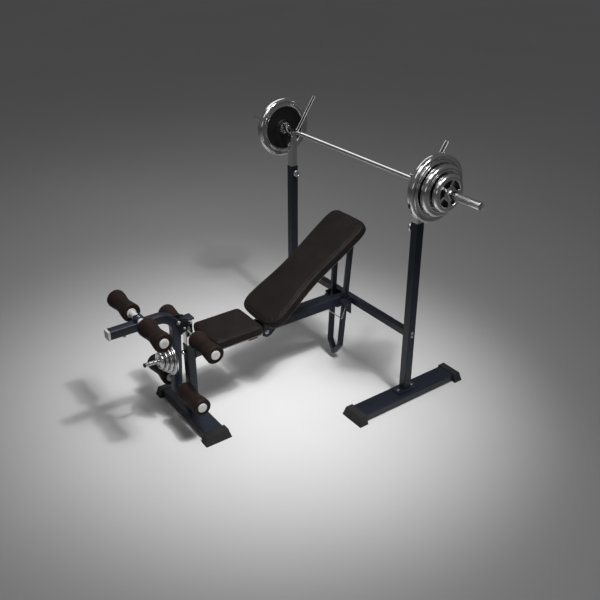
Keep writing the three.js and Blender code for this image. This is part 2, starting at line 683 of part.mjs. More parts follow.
// The bent tube with the front rollers' cross tube, the hinge boss and a small cable eye.
function addArm() {
  const { half, wall } = ARM;
  const outside = sidePlate(armOutline(0, 0), 2 * half, 2, 7);
  const inside = sidePlate(armOutline(wall, 8), 2 * (half - wall), 0, 7);
  const crossTube = rodX(17, 110, 16).translate(0, FRONT_ROLLER.y, FRONT_ROLLER.z);
  const boss = rodX(11, 2 * half).translate(0, PIVOT.y, PIVOT.z);
  const eye = circle(-1452, 650, 15);
  eye.holes.push(circle(-1452, 647, 6));
  const eyePlate = sidePlate(eye, 6, 0, 6);
  const bores = [
    rodX(AXLE + GAP, 120).translate(0, FRONT_ROLLER.y, FRONT_ROLLER.z),
    rodX(AXLE + GAP, 120).translate(0, LOWER_ROLLER.y, LOWER_ROLLER.z),
    rodX(PIVOT.bolt + GAP, 120).translate(0, PIVOT.y, PIVOT.z),
  ];
  const tube = cut(outside, inside);
  add('developer_arm', cut(join(tube, crossTube, boss, eyePlate), ...bores), NAVY);

  const plug = half - wall - 1;
  const deep = ARM.depth / 2;
  const flange = block([-half, half], [-1545, ARM.tip - GAP], [ARM.z - deep, ARM.z + deep]);
  const stem = block([-plug, plug], [ARM.tip - 1, ARM.tip + 24], [ARM.z - deep + 4, ARM.z + deep - 4]);
  add('developer_end_cap', join(flange, stem), RUBBER);
}

const PEG_PLATES = [95, 80, 65, 48];
const PEG_PLATE_THICKNESS = 18;

// The weight peg stands square to the leaning arm, with its plates stacked on it.
function addPeg() {
  const peg = turnedGroup(PEG.y, PEG.z, -ARM_LEAN);
  const root = -ARM.depth / 2 - GAP;
  const { radius, end, flange } = PEG;
  const rod = turnedY([
    [0, root], [21, root], [21, root - flange], [radius, root - flange],
    [radius, 3 - end], [radius - 3, -end], [0, -end],
  ], 14);
  add('weight_peg', rod, CHROME, peg);
  let face = root - flange - GAP;
  PEG_PLATES.forEach((outer, index) => {
    const web = [24, outer * 0.76];
    const plate = weightPlate(outer, radius + 0.5, web, PEG_PLATE_THICKNESS, 16);
    plate.rotateZ(-Math.PI / 2).translate(0, face, 0);
    add(`peg_plate_${index + 1}`, plate, CHROME, peg);
    face -= PEG_PLATE_THICKNESS + 0.5;
  });
}

// ---- Assembly --------------------------------------------------------------------------

for (const [side, sign] of Object.entries(SIDES)) {
  addRearFoot(side, sign);
  addUpright(side, sign);
  addRackPost(side, sign);
  addBarbellEnd(side, sign);
}
addBar();
addCrossbeam();
addMainBeam();
addFrontFoot();
addFrontPost();
addSeat();
addBackrest();
addHingeBolt();
addSupport();
addLockClip();
addFrontInner();
addHingeBracket();
addRollers('knee', KNEE);
addRollers('front', FRONT_ROLLER);
addRollers('lower', LOWER_ROLLER);
addArm();
addPeg();

export default bench;
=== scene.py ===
"""The looks of an adjustable weight bench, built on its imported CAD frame.

Metres, in the frame's own axes: the barbell lies along X, the leg developer is at the -Y end
and the floor is Z = 0. Left is -X.
"""

import json
import math
from collections import namedtuple

import bmesh
import bpy
from mathutils import Matrix, Vector, noise


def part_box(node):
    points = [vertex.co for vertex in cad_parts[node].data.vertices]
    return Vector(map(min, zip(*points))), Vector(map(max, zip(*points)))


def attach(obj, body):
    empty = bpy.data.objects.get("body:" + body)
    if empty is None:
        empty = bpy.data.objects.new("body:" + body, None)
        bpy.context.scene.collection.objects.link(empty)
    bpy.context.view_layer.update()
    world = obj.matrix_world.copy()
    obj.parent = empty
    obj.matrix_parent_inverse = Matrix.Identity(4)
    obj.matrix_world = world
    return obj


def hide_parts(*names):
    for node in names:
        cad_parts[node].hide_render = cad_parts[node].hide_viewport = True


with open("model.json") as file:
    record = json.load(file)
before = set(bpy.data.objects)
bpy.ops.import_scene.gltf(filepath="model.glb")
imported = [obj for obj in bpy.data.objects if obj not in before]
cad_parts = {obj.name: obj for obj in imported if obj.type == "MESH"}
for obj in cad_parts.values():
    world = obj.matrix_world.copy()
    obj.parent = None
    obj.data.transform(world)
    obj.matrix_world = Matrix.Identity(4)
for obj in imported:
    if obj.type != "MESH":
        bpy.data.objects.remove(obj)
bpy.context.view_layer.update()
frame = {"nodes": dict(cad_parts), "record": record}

SIDES = {"left": -1, "right": 1}
CORNERS = ((1, 1), (-1, 1), (-1, -1), (1, -1))
TURN = 2 * math.pi
X = Vector((1, 0, 0))
Y = Vector((0, 1, 0))
Z = Vector((0, 0, 1))

BODY_OF = {
    node: body
    for body, nodes in frame["record"]["behaviour"]["bodies"].items()
    for node in nodes
}
SLOT_OF = {part["node"]: part["material_slot"] for part in frame["record"]["subparts"]}


def middle(node):
    low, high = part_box(node)
    return (low + high) / 2


def mesh_of(name, form):
    mesh = bpy.data.meshes.new(name)
    form.to_mesh(mesh)
    form.free()
    return mesh


def linked(name, data):
    made = bpy.data.objects.new(name, data)
    bpy.context.scene.collection.objects.link(made)
    return made


# ---- Camera ----

CAMERA = {
    "place": (3.2037, -2.0853, 2.6706),
    "azimuth": math.radians(54.212),
    "elevation": math.radians(28.754),
    "focus": 45.7,
    "sensor": 36,
}


def add_camera():
    place, azimuth, elevation, focus, sensor = CAMERA.values()
    level = math.cos(elevation)
    back = Vector((math.sin(azimuth) * level, -math.cos(azimuth) * level, math.sin(elevation)))
    lens = bpy.data.cameras.new("camera")
    lens.lens = focus
    lens.sensor_width = sensor
    camera = linked("camera", lens)
    camera.location = place
    camera.rotation_mode = "QUATERNION"
    camera.rotation_quaternion = (-back).to_track_quat("-Z", "Y")
    bpy.context.scene.camera = camera


add_camera()


# ---- Materials ----

class Finish:
    """One Principled material, made from patterns that stay fixed to the piece."""

    def __init__(self, name, **constants):
        self.material = bpy.data.materials.new(name)
        self.material.use_nodes = True
        self.tree = self.material.node_tree
        self.shader = self.tree.nodes["Principled BSDF"]
        for socket, value in constants.items():
            self.shader.inputs[socket.replace("_", " ")].default_value = value
        self.place = self.node("ShaderNodeTexCoord").outputs["Object"]

    def node(self, kind, inputs=None, **settings):
        made = self.tree.nodes.new(kind)
        for key, value in settings.items():
            setattr(made, key, value)
        for key, value in (inputs or {}).items():
            if isinstance(value, bpy.types.NodeSocket):
                self.tree.links.new(value, made.inputs[key])
            else:
                made.inputs[key].default_value = value
        return made

    def noise(self, scale, detail=3.0):
        inputs = {"Vector": self.place, "Scale": scale, "Detail": detail}
        return self.node("ShaderNodeTexNoise", inputs).outputs["Fac"]

    def cells(self, scale):
        """The distance to the nearest edge between grain cells."""
        inputs = {"Vector": self.place, "Scale": scale}
        made = self.node("ShaderNodeTexVoronoi", inputs, feature="DISTANCE_TO_EDGE")
        return made.outputs["Distance"]

    def mapped(self, value, start, end, low, high):
        inputs = {"Value": value, "From Min": start, "From Max": end, "To Min": low, "To Max": high}
        return self.node("ShaderNodeMapRange", inputs).outputs["Result"]

    def between(self, factor, low, high):
        return self.mapped(factor, 0.3, 0.7, low, high)

    def colours(self, factor, dark, light):
        ramp = self.node("ShaderNodeValToRGB", {"Fac": factor})
        for element, place, colour in zip(ramp.color_ramp.elements, (0.32, 0.68), (dark, light)):
            element.position = place
            element.color = (*colour, 1)
        return ramp.outputs["Color"]

    def mixed(self, factor, first, second):
        inputs = {0: factor, 6: first, 7: second}
        return self.node("ShaderNodeMix", inputs, data_type="RGBA").outputs[2]

    def rounded(self, radius):
        """The surface normal with its hard edges softened."""
        return self.node("ShaderNodeBevel", {"Radius": radius}, samples=4).outputs["Normal"]

    def wear(self, radius, amount):
        """High along hard edges, where paint rubs thin, and broken up by noise."""
        true_normal = self.node("ShaderNodeNewGeometry").outputs["Normal"]
        vectors = {0: self.rounded(radius), 1: true_normal}
        product = self.node("ShaderNodeVectorMath", vectors, operation="DOT_PRODUCT")
        edge = self.mapped(product.outputs["Value"], 0.97, 0.8, 0, amount)
        factors = {0: edge, 1: self.between(self.noise(60, 5), 0.0, 1.0)}
        worn = self.node("ShaderNodeMath", factors, operation="MULTIPLY")
        return worn.outputs["Value"]

    def bump(self, height, distance, normal=None, strength=1.0):
        inputs = {"Height": height, "Distance": distance, "Strength": strength}
        if normal is not None:
            inputs["Normal"] = normal
        return self.node("ShaderNodeBump", inputs).outputs["Normal"]

    def wire(self, colour, roughness, normal):
        sockets = self.shader.inputs
        self.tree.links.new(colour, sockets["Base Color"])
        self.tree.links.new(roughness, sockets["Roughness"])
        self.tree.links.new(normal, sockets["Normal"])
        return self.material


def painted_steel(name, dark, light, worn):
    """Powder coat: a fine orange peel, a slow change of shade and rubbed edges."""
    finish = Finish(name, Specular_IOR_Level=0.32, Coat_Weight=0.08, Coat_Roughness=0.2)
    shade = finish.colours(finish.noise(5, 4), dark, light)
    colour = finish.mixed(finish.wear(0.0025, 0.5), shade, (*worn, 1))
    roughness = finish.between(finish.noise(40), 0.32, 0.46)
    peel = finish.bump(finish.noise(650, 2), 0.00012, finish.rounded(0.0012), 0.6)
    return finish.wire(colour, roughness, peel)


def plated_steel(name, dark, light, smooth, rough):
    """Bright plating: faint cloudiness, smudges and hairline marks."""
    finish = Finish(name, Metallic=1.0)
    colour = finish.colours(finish.noise(9, 4), dark, light)
    roughness = finish.between(finish.noise(18, 4), smooth, rough)
    marks = finish.bump(finish.noise(200, 3), 0.000005, finish.rounded(0.0008), 0.2)
    return finish.wire(colour, roughness, marks)


def moulded(name, dark, light, smooth, rough, grain):
    """Moulded rubber or plastic with a fine spark-eroded grain."""
    finish = Finish(name, Specular_IOR_Level=0.35)
    shade = finish.colours(finish.noise(14, 4), dark, light)
    paler = tuple(min(1, 2.2 * value + 0.01) for value in light)
    colour = finish.mixed(finish.wear(0.002, 0.35), shade, (*paler, 1))
    roughness = finish.between(finish.noise(70, 4), smooth, rough)
    skin = finish.bump(finish.noise(1500, 3), grain, finish.rounded(0.0012), 0.7)
    return finish.wire(colour, roughness, skin)


def upholstery(name, dark, light, smooth, rough, cell, lumps):
    """Grained vinyl or foam skin: small cells over soft lumps, painted shade along the cells'
    creases, and a faint sheen.
    """
    finish = Finish(name, Specular_IOR_Level=0.11, Sheen_Weight=0.02, Sheen_Roughness=0.5)
    broad = finish.colours(finish.noise(11, 5), dark, light)
    creases = finish.cells(cell)
    # Darker along the edges of the grain cells: painted shade in the creases.
    shadow = finish.mapped(creases, 0.0, 0.22, 0.45, 0.0)
    crease_shade_colour = tuple(0.45 * value for value in dark)
    colour = finish.mixed(shadow, broad, (*crease_shade_colour, 1))
    roughness = finish.between(finish.noise(30, 5), smooth, rough)
    soft = finish.bump(finish.noise(26, 2), lumps)
    grain = finish.bump(creases, 0.0004, soft, 0.5)
    return finish.wire(colour, roughness, grain)


FINISHES = {
    "navy": painted_steel(
        "navy_paint", (0.005, 0.0065, 0.012), (0.0085, 0.011, 0.0195), worn=(0.05, 0.055, 0.07)),
    "black_steel": painted_steel(
        "black_paint", (0.004, 0.004, 0.005), (0.008, 0.008, 0.009), worn=(0.05, 0.05, 0.055)),
    "chrome": plated_steel(
        "chrome_plate", (0.58, 0.58, 0.58), (0.72, 0.72, 0.72), smooth=0.09, rough=0.15),
    "zinc": plated_steel(
        "zinc_plate", (0.44, 0.45, 0.46), (0.62, 0.63, 0.64), smooth=0.22, rough=0.36),
    "rubber": moulded(
        "rubber_cap", (0.006, 0.006, 0.007), (0.012, 0.012, 0.013),
        smooth=0.58, rough=0.8, grain=0.0002),
    "board": moulded(
        "board_edge", (0.34, 0.33, 0.31), (0.46, 0.45, 0.42),
        smooth=0.55, rough=0.75, grain=0.0002),
    "foam": upholstery(
        "foam_skin", (0.0098, 0.0056, 0.0044), (0.018, 0.0104, 0.0082),
        smooth=0.5, rough=0.66, cell=560, lumps=0.0005),
    "vinyl": upholstery(
        "vinyl_cover", (0.0056, 0.0042, 0.0037), (0.0098, 0.0072, 0.0063),
        smooth=0.52, rough=0.68, cell=430, lumps=0.00035),
}
GREY_PLASTIC = moulded(
    "grey_plastic", (0.4, 0.4, 0.4), (0.52, 0.52, 0.51), smooth=0.34, rough=0.5, grain=0.0001)
# Near-black: the paint of the large plates' webs, and painted shade in the rack post's hole and the
# small plates' windows.
DARK_PAINT_AND_SHADE = moulded(
    "dark_paint_and_painted_shade", (0.003, 0.003, 0.0032), (0.007, 0.007, 0.0072),
    smooth=0.4, rough=0.58, grain=0.00015)


# ---- Mesh helpers ----

def bridge(form, near, far):
    """Faces between two rings, either of which may be a single point."""
    count = max(len(near), len(far))
    for step in range(count):
        following = (step + 1) % count
        corners = [near[step % len(near)], near[following % len(near)],
                   far[following % len(far)], far[step % len(far)]]
        form.faces.new(dict.fromkeys(corners))


def skinned(form, rings, capped=True):
    """Closes the form between neighbouring rings and, if capped, over both end rings."""
    if capped:
        form.faces.new(rings[0])
        form.faces.new(rings[-1])
    for near, far in zip(rings, rings[1:]):
        bridge(form, near, far)
    bmesh.ops.recalc_face_normals(form, faces=form.faces)
    return form


def lathe(profile, segments=72, closed=False, ripple=None):
    """A form turned about Z from (radius, along) points, with a radius of 0 at a closed end."""
    form = bmesh.new()
    rings = []
    for radius, along in profile:
        if radius == 0:
            rings.append([form.verts.new((0, 0, along))])
            continue
        ring = []
        for step in range(segments):
            angle = TURN * step / segments
            reach = radius + (ripple(radius, angle, along) if ripple else 0)
            ring.append(form.verts.new((reach * math.cos(angle), reach * math.sin(angle), along)))
        rings.append(ring)
    if closed:
        rings.append(rings[0])
    return skinned(form, rings, capped=False)


def sweep(section, path, across, closed=False, swell=None):
    """A form with a (side, up) section along a path that lies in the plane square to across."""
    form = bmesh.new()
    rings = []
    last = len(path) - 1
    for index, point in enumerate(path):
        before = path[index - 1] if closed or index > 0 else point
        after = path[(index + 1) % len(path)] if closed or index < last else point
        up = (after - before).normalized().cross(across)
        size = swell(index) if swell else 1
        ring = [point + across * (a * size) + up * (b * size) for a, b in section]
        rings.append([form.verts.new(corner) for corner in ring])
    if closed:
        rings.append(rings[0])
    return skinned(form, rings, capped=not closed)


def round_section(radius, sides=12):
    steps = [TURN * step / sides for step in range(sides)]
    return [(radius * math.cos(angle), radius * math.sin(angle)) for angle in steps]


def box_section(width, height, corner, steps=4):
    """A rounded rectangle, anticlockwise."""
    points = []
    for quarter, (side, up) in enumerate(CORNERS):
        for step in range(steps + 1):
            angle = TURN * (quarter + step / steps) / 4
            points.append((
                side * (width / 2 - corner) + corner * math.cos(angle),
                up * (height / 2 - corner) + corner * math.sin(angle),
            ))
    return points


def inwards(outline, distance):
    """A closed anticlockwise outline in X and Y, moved inwards."""
    moved = []
    for index, point in enumerate(outline):
        along = outline[(index + 1) % len(outline)] - outline[index - 1]
        moved.append(point + Vector((-along.y, along.x, 0)).normalized() * distance)
    return moved


def layered(outline, levels):
    """A closed form with one outline, drawn in at each of its (inset, height) levels."""
    form = bmesh.new()
    rings = []
    for inset, height in levels:
        ring = inwards(outline, inset)
        rings.append([form.verts.new((point.x, point.y, height)) for point in ring])
    return skinned(form, rings)


def slab(section, thickness, edge):
    """A (side, up) outline made thick along Z from 0, with a small rounding on both faces."""
    outline = [Vector((a, b, 0)) for a, b in section]
    return layered(outline, [
        (edge, 0), (edge * 0.3, edge * 0.3), (0, edge), (0, thickness - edge),
        (edge * 0.3, thickness - edge * 0.3), (edge, thickness),
    ])


def placed(form, origin, direction):
    """The form moved so that its Z axis starts at origin and points along direction."""
    turn = Vector(direction).to_track_quat("Z", "Y").to_matrix().to_4x4()
    form.transform(Matrix.Translation(origin) @ turn)
    return form


def joined(*forms):
    whole = bmesh.new()
    for form in forms:
        mesh = mesh_of("part", form)
        whole.from_mesh(mesh)
        bpy.data.meshes.remove(mesh)
    return whole


def add_piece(name, form, body, slot, finish=None, sharp=38):
    """Makes the form a piece that rides on a body, with its slot's finish or its own."""
    mesh = mesh_of(name, form)
    mesh.materials.append(finish or FINISHES[slot])
    mesh.polygons.foreach_set("use_smooth", [True] * len(mesh.polygons))
    mesh.set_sharp_from_angle(angle=math.radians(sharp))
    piece = linked(name, mesh)
    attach(piece, body)
    return piece


def stand_in(node, form, sharp=38):
    """A finer piece that stands for a CAD node, in its place and on its body."""
    piece = add_piece(f"fine_{node}", form, BODY_OF[node], SLOT_OF[node], sharp=sharp)
    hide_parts(node)
    return piece


# ---- CAD nodes that stay ----

def finish_cad_nodes():
    """Gives every CAD node the material of its slot, except that the arm's end cap is grey."""
    for name, node in frame["nodes"].items():
        finish = GREY_PLASTIC if name == "developer_end_cap" else FINISHES[SLOT_OF[name]]
        for holder in node.material_slots:
            holder.material = finish


finish_cad_nodes()


# ---- Fasteners and welds ----

WASHER = 0.0014  # how thick


def hex_head(radius, height):
    """A chamfered hexagon head on its washer, standing on Z = 0."""
    washer = lathe([
        (0, 0), (radius * 1.45, 0), (radius * 1.5, 0.0004), (radius * 1.45, WASHER), (0, WASHER),
    ], 36)
    top = WASHER + height
    dish = top - 0.0004
    head = lathe([
        (0, WASHER), (radius, WASHER), (radius, WASHER + height * 0.8),
        (radius * 0.82, top), (radius * 0.55, top), (radius * 0.5, dish), (0, dish),
    ], 6)
    return joined(washer, head)


def add_bolt(name, body, origin, direction, radius=0.0065, height=0.005):
    form = placed(hex_head(radius, height), origin, direction)
    add_piece(name, form, body, "zinc", sharp=20)


def add_cross_bolt(node, shank):
    """A through bolt along X with a hexagon at each end, in place of the CAD bolt."""
    low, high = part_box(node)
    centre = (low + high) / 2
    head = 0.0055
    reach = high.x - head - 0.002
    rod = lathe([(0, -reach), (shank, -reach), (shank, reach), (0, reach)], 24)
    across = (high.z - low.z) * 0.9
    heads = [
        placed(hex_head(across / 2, head), (sign * reach, 0, 0), X * sign)
        for sign in SIDES.values()
    ]
    form = joined(placed(rod, (0, 0, 0), X), *heads)
    form.transform(Matrix.Translation(centre))
    stand_in(node, form, sharp=20)


def add_weld_bead(name, body, path, across, radius=0.0024):
    """A lumpy weld bead along a closed path."""
    steps = []
    for index, point in enumerate(path):
        following = path[(index + 1) % len(path)]
        pieces = max(1, round((following - point).length / 0.0022))
        steps += [point.lerp(following, step / pieces) for step in range(pieces)]

    def swell(index):
        return 1 + 0.22 * math.sin(index * 1.6) + 0.12 * noise.noise(steps[index] * 120)

    form = sweep(round_section(radius, 8), steps, across, closed=True, swell=swell)
    add_piece(name, form, body, "navy", sharp=180)


def square_path(centre, side, up, half_side, half_up):
    return [centre + side * (a * half_side) + up * (b * half_up) for a, b in CORNERS]


RACK_X = middle("rack_post_right").x
RACK_Y = middle("bar").y
POST_HALF = 0.025
WELD_HALF = POST_HALF + 0.0005
PLATE_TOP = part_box("front_foot")[1].z + 0.0063
FRONT_POST = middle("front_inner_post")
BEAM_BOLTS = {"below_top": 0.029, "spacing": 0.023}
FOOT_BOLT_SHIFT = 0.052
FRONT_FOOT_BOLT_SHIFT = 0.0325
SEAT_BOLT = {"side": 0.118, "behind": 0.08}
SMALL_BOLT = {"radius": 0.005, "height": 0.004}
BRACKET_BOLT = {"radius": 0.0055, "height": 0.0045}


def add_post_weld(name, x, y):
    foot = Vector((x, y, PLATE_TOP + 0.001))
    add_weld_bead(name, "frame", square_path(foot, X, Y, WELD_HALF, WELD_HALF), Z)


def add_side_fittings(side, sign):
    """One upright's bolts and weld, and the small bolts further forward on the same side."""
    beam_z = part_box("crossbeam")[1].z - BEAM_BOLTS["below_top"]
    for label, level in (("low", -0.5), ("high", 0.5)):
        origin = (sign * (RACK_X + POST_HALF), RACK_Y, beam_z + level * BEAM_BOLTS["spacing"])
        add_bolt(f"beam_bolt_{label}_{side}", "frame", origin, X * sign)
    for label, way in (("front", -1), ("back", 1)):
        origin = (sign * RACK_X, RACK_Y + way * FOOT_BOLT_SHIFT, PLATE_TOP)
        add_bolt(f"foot_bolt_{label}_{side}", "frame", origin, Z)
    add_post_weld(f"upright_weld_{side}", sign * RACK_X, RACK_Y)
    origin = (sign * FRONT_FOOT_BOLT_SHIFT, FRONT_POST.y, PLATE_TOP)
    add_bolt(f"front_foot_bolt_{side}", "frame", origin, Z, **SMALL_BOLT)
    under = (sign * SEAT_BOLT["side"], middle("seat_bracket").y + SEAT_BOLT["behind"],
             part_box("seat_bracket")[0].z)
    add_bolt(f"seat_bolt_{side}", "frame", under, -Z, **SMALL_BOLT)


def add_frame_fittings():
    for side, sign in SIDES.items():
        add_side_fittings(side, sign)
    add_post_weld("front_post_weld", 0, FRONT_POST.y)
    low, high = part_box("main_beam")
    half_up = (high.z - low.z) / 2 + 0.0005
    for label, y in (("front", low.y + 0.001), ("back", high.y - 0.001)):
        centre = Vector((0, y, (low.z + high.z) / 2))
        add_weld_bead(f"beam_weld_{label}", "frame", square_path(centre, X, Z, WELD_HALF, half_up), Y)


add_frame_fittings()
add_cross_bolt("hinge_bolt", 0.0058)
add_cross_bolt("support_pin", 0.0058)
add_cross_bolt("developer_bolt", 0.0048)


# ---- Knobs ----

# The rim and the face, as shares of the knob's radius and of its length.
KNOB_RIM = ((0.95, 0.28), (1, 0.42), (1, 0.72), (0.97, 0.86), (0.9, 0.97), (0.82, 1),
            (0.74, 0.96), (0.7, 0.86), (0, 0.84))
KNOB_FACE = ((0, 0.9), (0.4, 0.89), (0.66, 0.87), (0.69, 0.85), (0, 0.85))


def add_knob(node, direction, radius, length):
    """A chrome pull knob with a rolled rim and a duller dished face."""
    low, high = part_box(node)
    centre = (low + high) / 2
    tip = max(abs((low - centre).dot(direction)), abs((high - centre).dot(direction)))
    start = tip - length

    def shaped(shares):
        return [(radius * across, start + length * along) for across, along in shares]

    profile = [
        (0, -tip), (0.0044, -tip), (0.0044, start + 0.0004), (radius * 0.62, start + 0.0004),
        (radius * 0.78, start + 0.0012), *shaped(KNOB_RIM),
    ]
    stand_in(node, placed(lathe(profile, 48), centre, direction), sharp=50)
    form = placed(lathe(shaped(KNOB_FACE), 40), centre, direction)
    add_piece(f"{node}_face", form, BODY_OF[node], "zinc")


for side, sign in SIDES.items():
    add_knob(f"pull_knob_{side}", -X * sign, 0.0225, 0.018)
add_knob("front_clamp_knob", -Y, 0.013, 0.012)


# ---- Cradles ----

TROUGH = {"z": 1.3642, "radius": 0.053, "thickness": 0.007, "width": 0.031, "channel": 0.012}
LIP_ANGLE = math.radians(205)
ARM_ANGLE = math.radians(326.6)
LIP_LENGTH = 0.045
ARM_LENGTH = 0.2155


def cradle_path(start_reach, end_reach, offset=0.0):
    """The strip's centre line: a lip, the round trough, then the long arm."""
    radius = TROUGH["radius"] + offset
    centre = Vector((0, RACK_Y, TROUGH["z"]))

    def on_circle(angle, reach):
        y = radius * math.cos(angle) - reach * math.sin(angle)
        z = radius * math.sin(angle) + reach * math.cos(angle)
        return centre + Vector((0, y, z))

    steps = 28
    arc = [LIP_ANGLE + (ARM_ANGLE - LIP_ANGLE) * step / steps for step in range(steps + 1)]
    path = [on_circle(angle, 0) for angle in arc]
    if start_reach > 0:
        path.insert(0, on_circle(LIP_ANGLE, -start_reach))
    path.append(on_circle(ARM_ANGLE, end_reach))
    return path


def channel_section():
    """The strip's section: two half-round rails with a shallow channel between them."""
    half = TROUGH["width"] / 2
    crease_shade_colour = TROUGH["thickness"] / 2
    rail = (TROUGH["width"] - TROUGH["channel"]) / 4
    points = [(half - 0.001, -crease_shade_colour), (half, 0.001 - crease_shade_colour)]
    steps = 8
    for side in SIDES.values():
        centre = -side * (half - rail)
        for step in range(steps + 1):
            angle = TURN / 2 * step / steps
            up = crease_shade_colour - rail * 0.55 * (1 - math.sin(angle))
            points.append((centre + rail * math.cos(angle), up))
    return [*points, (-half, 0.001 - crease_shade_colour), (0.001 - half, -crease_shade_colour)]


def add_cradle(side, sign):
    node = f"cradle_{side}"
    shift = Matrix.Translation((sign * RACK_X, 0, 0))
    section = [(a, -b) for a, b in channel_section()]
    strip = sweep(section, cradle_path(LIP_LENGTH, ARM_LENGTH), X)
    block = slab(box_section(0.0295, 0.036, 0.003), 0.0145, 0.0008)
    form = joined(strip, placed(block, (0, RACK_Y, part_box(node)[0].z), Z))
    form.transform(shift)
    stand_in(node, form, sharp=30)
    liner_path = cradle_path(LIP_LENGTH - 0.003, ARM_LENGTH - 0.0065, -0.0018)
    liner = sweep(box_section(TROUGH["channel"], 0.0011, 0.0004, 2), liner_path, X)
    liner.transform(shift)
    add_piece(f"cradle_liner_{side}", liner, BODY_OF[node], "rubber")


def add_pin_hole_shade():
    """A thin dark disc on the right rack post just above its upright: painted shade where its round
    hole shows.
    """
    height = 1.143
    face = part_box("rack_post_right")[1].x
    disc = lathe([(0, 0.0003), (0.0035, 0.0003), (0.0042, 0.0001), (0, 0.0001)], 24)
    form = placed(disc, (face, RACK_Y, height), X)
    add_piece("rack_post_hole", form, "right_rack", "chrome", DARK_PAINT_AND_SHADE)


for side, sign in SIDES.items():
    add_cradle(side, sign)
add_pin_hole_shade()


# ---- Barbell and plates ----

BAR_Z = middle("bar").z
BAR_RADIUS = 0.013
BAR_COLLAR = {"radius": 0.025, "start": 0.62, "end": 0.638}
SLEEVE = {"radius": 0.022, "start": 0.641, "bore_end": 0.9703}
SLEEVE_FLANGE = {"radius": 0.034, "end": 0.6545}


def on_bar(form, sign):
    return placed(form, (0, RACK_Y, BAR_Z), X * sign)


def add_bar():
    """A plain round bar with a collar inside each sleeve's flange."""
    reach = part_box("bar")[1].x
    collar, start, end = BAR_COLLAR.values()
    ease = 0.0015
    half = [
        (BAR_RADIUS, start - 0.02), (BAR_RADIUS + ease, start - ease), (collar - ease, start),
        (collar, start + ease), (collar, end - 0.0035), (collar - ease, end - 0.0005),
        (BAR_RADIUS + ease, end), (BAR_RADIUS, end + ease), (BAR_RADIUS, reach - 0.002),
        (BAR_RADIUS - ease, reach), (0, reach),
    ]
    profile = [(radius, -along) for radius, along in reversed(half)] + half
    stand_in("bar", on_bar(lathe(profile, 48), 1), sharp=45)


def flutes(radius, angle, along):
    """Shallow flutes all along the part of a sleeve that has its plain radius."""
    if abs(radius - SLEEVE["radius"]) > 0.0005:
        return 0
    return -0.0007 * (0.5 - 0.5 * math.cos(20 * angle)) ** 2


def add_sleeve(side, sign):
    """A hollow sleeve with a flange at its inner end and a plug in its tip."""
    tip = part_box("sleeve_right")[1].x
    bore = BAR_RADIUS + 0.0005
    radius, start, bore_end = SLEEVE.values()
    flange, flange_end = SLEEVE_FLANGE.values()
    profile = [
        (0, bore_end), (bore, bore_end), (bore, start), (flange - 0.003, start),
        (flange - 0.0005, start + 0.0015), (flange, start + 0.0035), (flange, flange_end - 0.004),
        (flange - 0.001, flange_end - 0.002), (radius + 0.0015, flange_end),
        (radius, flange_end + 0.0015), (radius, 0.7), (radius, 0.8), (radius, 0.9),
        (radius, tip - 0.0035), (radius - 0.0008, tip - 0.0012), (radius - 0.0022, tip - 0.0003),
        (radius - 0.0035, tip), (radius - 0.0045, tip - 0.0008), (radius - 0.0055, tip - 0.0022),
        (0, tip - 0.0022),
    ]
    stand_in(f"sleeve_{side}", on_bar(lathe(profile, 160, ripple=flutes), sign), sharp=45)
    plug = lathe([
        (0, tip - 0.0004), (0.012, tip - 0.0005), (0.016, tip - 0.0012), (0.0164, tip - 0.0021),
        (0, tip - 0.0021),
    ], 48)
    body = f"{side}_sleeve"
    add_piece(f"sleeve_plug_{side}", on_bar(plug, sign), body, "chrome", FINISHES["zinc"])


# A plate's outer radius, where its recessed web begins and ends, where it lies along the bar or
# peg, how thick it is, and how far its rim reaches past its hub on the side towards the rack.
Plate = namedtuple("Plate", "radius web_inner web_outer start thickness flange")
PLATES = {
    "large": Plate(0.18, 0.046, 0.131, 0.6555, 0.035, 0.01),
    "medium": Plate(0.135, 0.042, 0.1, 0.692, 0.043, 0.0),
    "small": Plate(0.098, 0.038, 0.073, 0.737, 0.038, 0.0),
}
SLEEVE_BORE = 0.0224
RECESS_SHARE = 0.27  # of a plate's thickness
SPOKES = 5
SPOKE_START = math.radians(121)
SPOKE_HALF_SPAN = math.radians(10)


def rounding(radius, along, reach, depth, first, last, steps=6):
    """Points on an elliptical quarter turn about (radius, along), between two angles in degrees."""
    points = []
    for step in range(steps + 1):
        angle = math.radians(first + (last - first) * step / steps)
        points.append((radius + reach * math.cos(angle), along + depth * math.sin(angle)))
    return points


def rim_profile(radius, inner, start, thickness, recess):
    """The face of a rim from its recess outwards: a rounded lip, a shallow dip and a full roll."""
    roll = thickness * 0.42
    lip = min(0.008, (radius - roll - inner) / 3)
    dip = 0.0022
    profile = [(inner, start + recess)]
    profile += rounding(inner + lip, start + lip, lip, lip, 180, 270)
    profile += [(inner + lip * 1.5, start + dip * 0.3), (inner + lip * 1.9, start + dip),
                (radius - roll * 1.35, start + dip), (radius - roll * 1.15, start + dip * 0.3)]
    return profile + rounding(radius - roll, start + roll, roll, roll, -90, 0, 9)


def mirrored(face, start, thickness):
    """The same face on the plate's other side, from its outer edge back in."""
    return [(radius, 2 * start + thickness - along) for radius, along in reversed(face)]


def hub_profile(bore, outer, start, recess):
    """The face of a hub from its bore outwards, down into the recess."""
    return [
        (bore, start + 0.0012), (bore + 0.0012, start), (outer - 0.0045, start),
        (outer - 0.002, start + 0.0012), (outer, start + recess),
    ]


def add_weight_plate(node, plate, bore, place):
    radius, web_inner, web_outer, start, thickness, flange = plate
    recess = thickness * RECESS_SHARE
    hub = hub_profile(bore, web_inner, start, recess)
    back = rim_profile(radius, web_outer, start - flange, thickness + flange, recess + flange)
    front = rim_profile(radius, web_outer, start, thickness, recess)
    profile = hub + back + mirrored(hub + front, start, thickness)
    stand_in(node, place(lathe(profile, 128, closed=True)), sharp=40)


